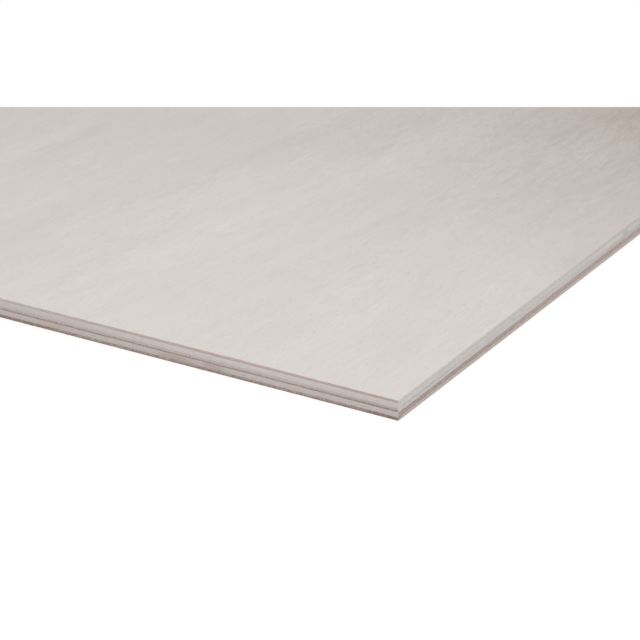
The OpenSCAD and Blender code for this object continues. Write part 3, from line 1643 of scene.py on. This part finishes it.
    def _lower_cross(self) -> VeneerFinish:
        """Mixes the looks of the lower cross ply.

        Returns:
            The looks.
        """
        pink = "bcafa9"
        patches = (
            Mark.on_end((97, 2.9), (9, 3), "b3a19a", 0.7),
            Mark.on_end((117, 2.5), (15, 3), "b8a9a3", 0.85),
            Mark.on_end((184, 2.7), (14, 3), pink, 0.5),
            Mark((self.FAR_END_MM, 330, 2.5), (Mark.INTO_EDGE, 40, 3), pink, 0.8),
        )
        deep = Mark.on_long((20, 2.5), (120, 4), "b29f99", 0.9)
        saw_lines = (*self.FIBRE_STREAKS, Streaks((1.0, 6.0), 0.075, slant=1.0))
        streaks = (Streaks((5.0, 4.0), 0.04, slant=1.3), Streaks((0.8, 1.1), 0.43, slant=1.5))
        torn_line = Line("93807a", at=0.93, half=0.14, shown=0.7, breaks=0.45, ragged=2.0)
        return VeneerFinish(
            BroadFinish(),
            self._long("c6beb9", "c3bbb6", streaks=saw_lines, marks=patches),
            self._end("bcaba5", "b8a7a1", streaks=streaks, lines=(torn_line,), marks=(deep,)),
        )

    def _back(self) -> VeneerFinish:
        """Mixes the looks of the back ply.

        Returns:
            The looks.
        """
        line = Line("b4aaa4", at=0.42, half=0.16, shown=0.75, breaks=0.2, ragged=1.0, dotted=0.95)
        red = "8f766e"
        reds = (Mark.on_end((8, 0.8), (26, 3), red, 0.7), Mark.on_end((205, 0.8), (40, 3), red, 0.6))
        streaks = (Streaks((2.6, 1.6), 0.12), Streaks((0.75, 0.8), 0.5), Streaks((0.6, 2.0), 0.06, slant=0.6))
        specks = Specks("5f4a43", 0.75, rare=0.62)
        nick = Mark.on_long((0.8, 1.4), (3.0, 0.6), "8f746c", 0.9, fray=0.3)
        return VeneerFinish(
            BroadFinish(),
            self._long("cdc5bf", "c7bfb9", lines=(line,), marks=(nick,), wear=0.0),
            self._end("aa9a94", "9e8c86", streaks=streaks, specks=specks, marks=reds, wear=0.0),
        )


@dataclass(frozen=True)
class Photograph:
    """Where the camera stood, worked out from the lines of the sheet's visible corner.

    Attributes:
        side: Width and height of the picture, in pixels.
        focal: Focal length, in pixels.
        corner: Where the lowest point of the sheet's corner lies in the picture.
        distance: From the lens to that corner, as a number of sheet thicknesses.
        bearing: Which way the camera looks over the floor, from the sheet's length, in degrees.
        fall: How far it looks down, in degrees.
        upper_edge: How far away the sheet is cut off at the top of the picture, in thicknesses.
    """

    side: float = 640.0
    focal: float = 3427.0
    corner: Pair = (398.46, 420.99)
    distance: float = 151.15
    bearing: float = 30.72
    fall: float = 24.63
    upper_edge: float = 183.32


@dataclass(frozen=True)
class Lamp:
    """A large soft lamp.

    Attributes:
        name: Its name.
        place: Where it hangs, from the photographed corner.
        aim: What it points at, from the same corner.
        size: Its width.
        power: Its power in watts.
    """

    name: str
    place: Triple
    aim: Triple
    size: float
    power: float

    def hang(self, corner: Vector) -> None:
        """Puts the lamp into the scene.

        Args:
            corner: The photographed corner.
        """
        data = bpy.data.lights.new(self.name, "AREA")
        data.shape = "DISK"
        data.size = self.size
        data.energy = self.power
        lamp = bpy.data.objects.new(self.name, data)
        lamp.location = corner + Vector(self.place)
        lamp.rotation_mode = "QUATERNION"
        lamp.rotation_quaternion = (Vector(self.aim) - Vector(self.place)).to_track_quat("-Z", "Y")
        bpy.context.scene.collection.objects.link(lamp)


@dataclass
class Studio:
    """The floor, the light and the camera.

    Attributes:
        low: Lowest corner of the sheet, which is the photographed one.
        high: Highest corner of the sheet.
        photo: How the photograph was taken.
        sensor: Width of the camera's sensor, in millimetres.
        nearest: How near the camera sees.
        floor_half: Half the width of the floor.
        floor_grey: How pale the floor is.
        floor_lift: What is added to the floor for the camera, near the sheet and far from it, so that it
            reads as white.
        floor_span: Distances from the sheet's middle between which that grows.
        sky: How much of the light comes evenly from all round.
        lamps: The lamps.
    """

    low: Vector
    high: Vector
    photo: Photograph = Photograph()
    sensor: float = 36.0
    nearest: float = 0.01
    floor_half: float = 8.0
    floor_grey: float = 0.8
    floor_lift: Pair = (0.35, 0.52)
    floor_span: Pair = (0.8, 2.4)
    sky: float = 0.62
    lamps: tuple[Lamp, ...] = (
        Lamp("key", place=(-0.6, -0.15, 1.0), aim=(0.0, 0.0, 0.0), size=0.8, power=5.8),
        Lamp("fill", place=(1.4, -1.5, 0.5), aim=(0.2, 0.0, 0.0), size=1.4, power=5.8),
    )

    def build(self) -> None:
        """Sets up the whole studio."""
        self._camera()
        self._sky()
        self._floor()
        for lamp in self.lamps:
            lamp.hang(self.low)
        bpy.context.scene.view_settings.view_transform = "Standard"

    def _camera(self) -> None:
        """Puts the camera where the photograph was taken from."""
        photo, thick = self.photo, self.high.z - self.low.z
        bearing, fall = math.radians(photo.bearing), math.radians(photo.fall)
        right = Vector((math.sin(bearing), -math.cos(bearing), 0))
        level = Vector((math.cos(bearing), math.sin(bearing), 0))
        ahead = level * math.cos(fall) - Vector((0, 0, math.sin(fall)))
        up = right.cross(ahead)
        aside = (photo.corner[0] - photo.side / 2) / photo.focal
        above = (photo.side / 2 - photo.corner[1]) / photo.focal
        data = bpy.data.cameras.new("camera")
        data.sensor_width = self.sensor
        data.lens = photo.focal / photo.side * self.sensor
        data.clip_start = self.nearest
        # In the photograph the sheet is cut off along a level line. The far clip plane makes the same cut.
        data.clip_end = photo.upper_edge * thick
        camera = bpy.data.objects.new("camera", data)
        place = self.low - photo.distance * thick * (ahead + right * aside + up * above)
        turn = Matrix((right, up, -ahead)).transposed()
        camera.matrix_world = Matrix.Translation(place) @ turn.to_4x4()
        bpy.context.scene.collection.objects.link(camera)
        bpy.context.scene.camera = camera

    @staticmethod
    def _seen(graph: Graph) -> Socket:
        """Adds the test of whether a ray comes from the camera, a mirror or glass.

        Args:
            graph: The tree that asks.

        Returns:
            1 for such a ray, and 0 for one that carries light.
        """
        path = graph.node("LightPath").outputs
        seen = path["Is Camera Ray"]
        for name in ("Is Glossy Ray", "Is Transmission Ray"):
            seen = graph.math("MAXIMUM", seen, path[name])
        return seen

    def _sky(self) -> None:
        """Makes a world that looks white and lights the sheet evenly."""
        world = bpy.data.worlds.new("studio")
        graph = Graph(world)
        strength = graph.spread(self._seen(graph), 0.0, 1.0, self.sky, 1.0)
        sky = graph.node("Background", ["ffffff", strength])
        graph.node("OutputWorld", [sky.outputs[0]])
        bpy.context.scene.world = world

    def _floor(self) -> None:
        """Lays a plain pale floor that keeps the sheet's shadow."""
        half = self.floor_half
        mesh = bpy.data.meshes.new("floor")
        corners = [(-half, -half, 0), (half, -half, 0), (half, half, 0), (-half, half, 0)]
        mesh.from_pydata(corners, [], [(0, 1, 2, 3)])
        material = bpy.data.materials.new("floor")
        graph = Graph(material)
        place = graph.node("TexCoord").outputs["Object"]
        away = graph.node("VectorMath", [place], operation="LENGTH").outputs["Value"]
        lift = graph.node("MapRange", [away, *self.floor_span, *self.floor_lift]).outputs[0]
        strength = graph.math("MULTIPLY", self._seen(graph), lift)
        paint = graph.node("BsdfDiffuse", [(self.floor_grey, self.floor_grey, self.floor_grey, 1.0)])
        glow = graph.node("Emission", {"Strength": strength})
        both = graph.node("AddShader", [paint.outputs[0], glow.outputs[0]])
        graph.node("OutputMaterial", [both.outputs[0]])
        mesh.materials.append(material)
        floor = bpy.data.objects.new("floor", mesh)
        floor.location.z = self.low.z
        bpy.context.scene.collection.objects.link(floor)
        floor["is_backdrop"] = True


def main() -> None:
    """Builds the sheet and its studio."""
    logging.basicConfig(level=logging.INFO, format="%(message)s")
    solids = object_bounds()
    for veneer in PlywoodSheet().veneers():
        piece = veneer.build(solids)
        LOG.info("%s: %d faces", piece.name, len(piece.data.polygons))
    Studio(*solids).build()


if __name__ == "__main__":
    main()
